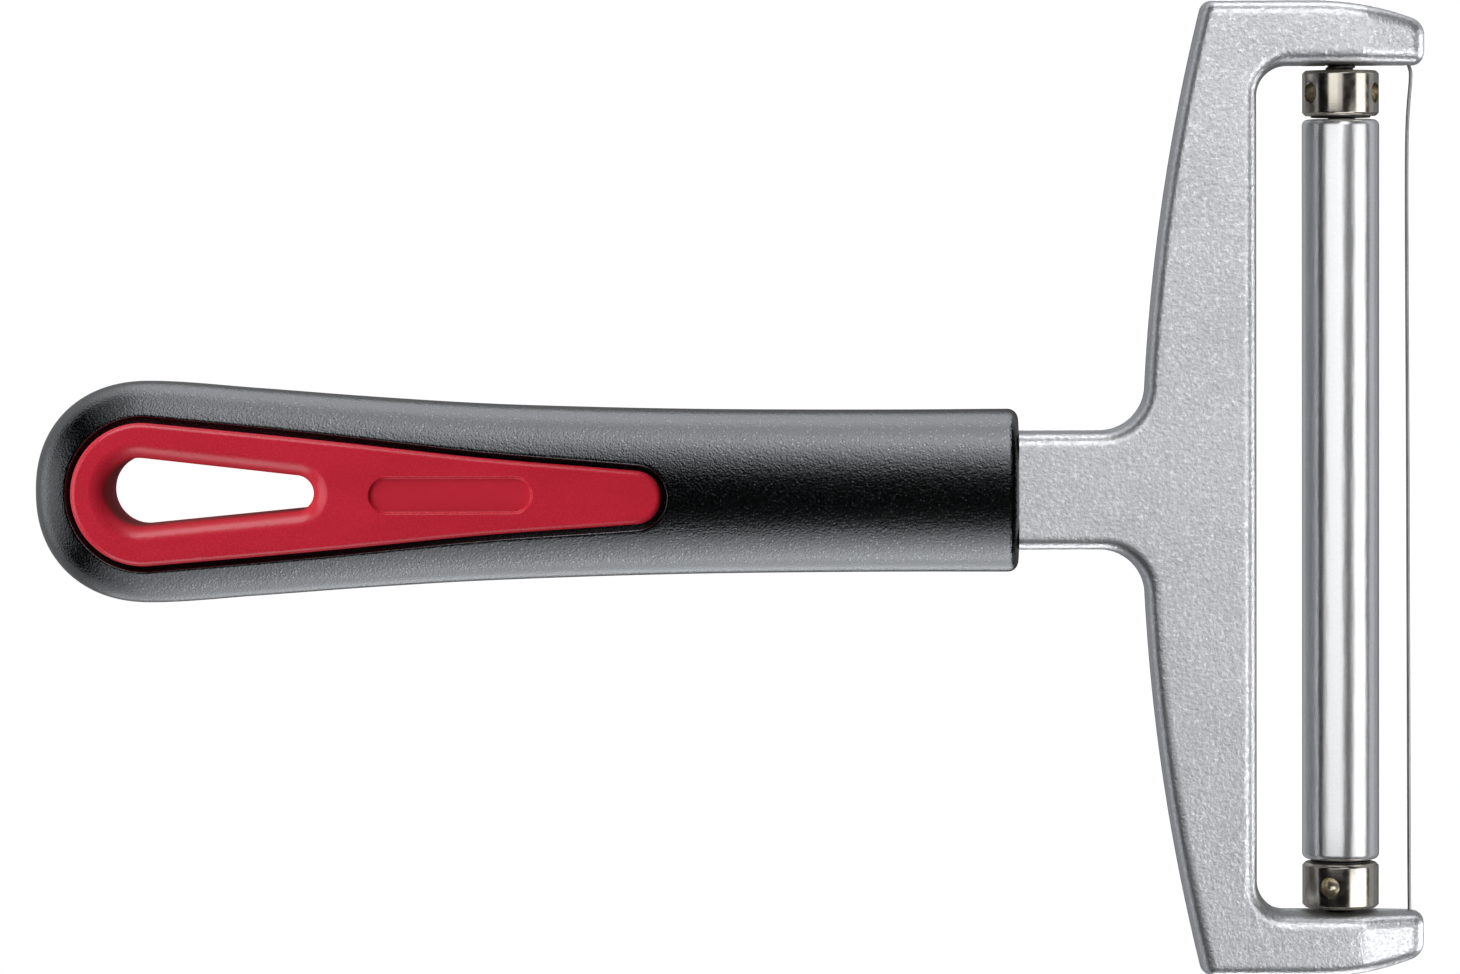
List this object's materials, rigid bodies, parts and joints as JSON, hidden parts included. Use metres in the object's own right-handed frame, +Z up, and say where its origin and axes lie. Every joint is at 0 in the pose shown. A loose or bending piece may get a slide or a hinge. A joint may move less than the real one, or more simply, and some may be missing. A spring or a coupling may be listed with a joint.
{
  "type": "wire cheese slicer",
  "caption": "Hand-held cheese slicer: cast fork with a taut cutting wire and a free-turning guide roller between round tension nuts, on a moulded handle with a hanging eye.",
  "frame": {"origin": "centre of the overall length and width, on the surface that the slicer lies on", "axes": "+X from the handle's tail to the cutting wire, +Y along the roller towards the nut that stands off its arm, +Z up out of the surface"},
  "size_m": [0.1875, 0.1316, 0.016],
  "materials": {
    "cast_aluminium": "die-cast, fine-grained satin",
    "handle_black": "fine-grained matt",
    "inlay_red": "satin",
    "spindle_steel": "dark threaded",
    "roller_aluminium": "fine-turned",
    "bush_plastic": "plain moulded",
    "nut_nickel": "bright nickel plate",
    "washer_plastic": "plain",
    "wire_steel": "drawn wire"
  },
  "bodies": {
    "frame": {"fork_casting": "cast_aluminium", "handle_shell": "handle_black", "front_inlay": "inlay_red", "back_inlay": "inlay_red", "spindle": "spindle_steel", "cutting_wire": "wire_steel", "upper_wire_stop": "wire_steel", "lower_wire_stop": "wire_steel"},
    "roller": {"roller_tube": "roller_aluminium", "upper_roller_bush": "bush_plastic", "lower_roller_bush": "bush_plastic"},
    "upper_washer": {"upper_thrust_washer": "washer_plastic"},
    "upper_nut": {"upper_tension_nut": "nut_nickel"},
    "lower_washer": {"lower_thrust_washer": "washer_plastic"},
    "lower_nut": {"lower_tension_nut": "nut_nickel"}
  },
  "joints": [
    {"name": "roller_spin", "type": "hinge", "parent": "frame", "child": "roller", "pos_m": [0.0825, 0, 0.008], "axis": [0, 1, 0], "continuous": true},
    {"name": "upper_nut_travel", "type": "slide", "parent": "frame", "child": "upper_washer", "axis": [0, 1, 0], "range_m": [-0.00015, 0.0005]},
    {"name": "upper_nut_turn", "type": "hinge", "parent": "upper_washer", "child": "upper_nut", "pos_m": [0.0825, 0.05325, 0.008], "axis": [0, 1, 0], "range_deg": [-80, 260]},
    {"name": "lower_nut_travel", "type": "slide", "parent": "frame", "child": "lower_washer", "axis": [0, 1, 0], "range_m": [-0.0003, 0.00015]},
    {"name": "lower_nut_turn", "type": "hinge", "parent": "lower_washer", "child": "lower_nut", "pos_m": [0.0825, -0.05345, 0.008], "axis": [0, 1, 0], "range_deg": [-160, 80]}
  ],
  "couplings": [
    {"joint": "upper_nut_turn", "follows": "upper_nut_travel", "rad_per_m": 8976},
    {"joint": "lower_nut_turn", "follows": "lower_nut_travel", "rad_per_m": 8976}
  ]
}
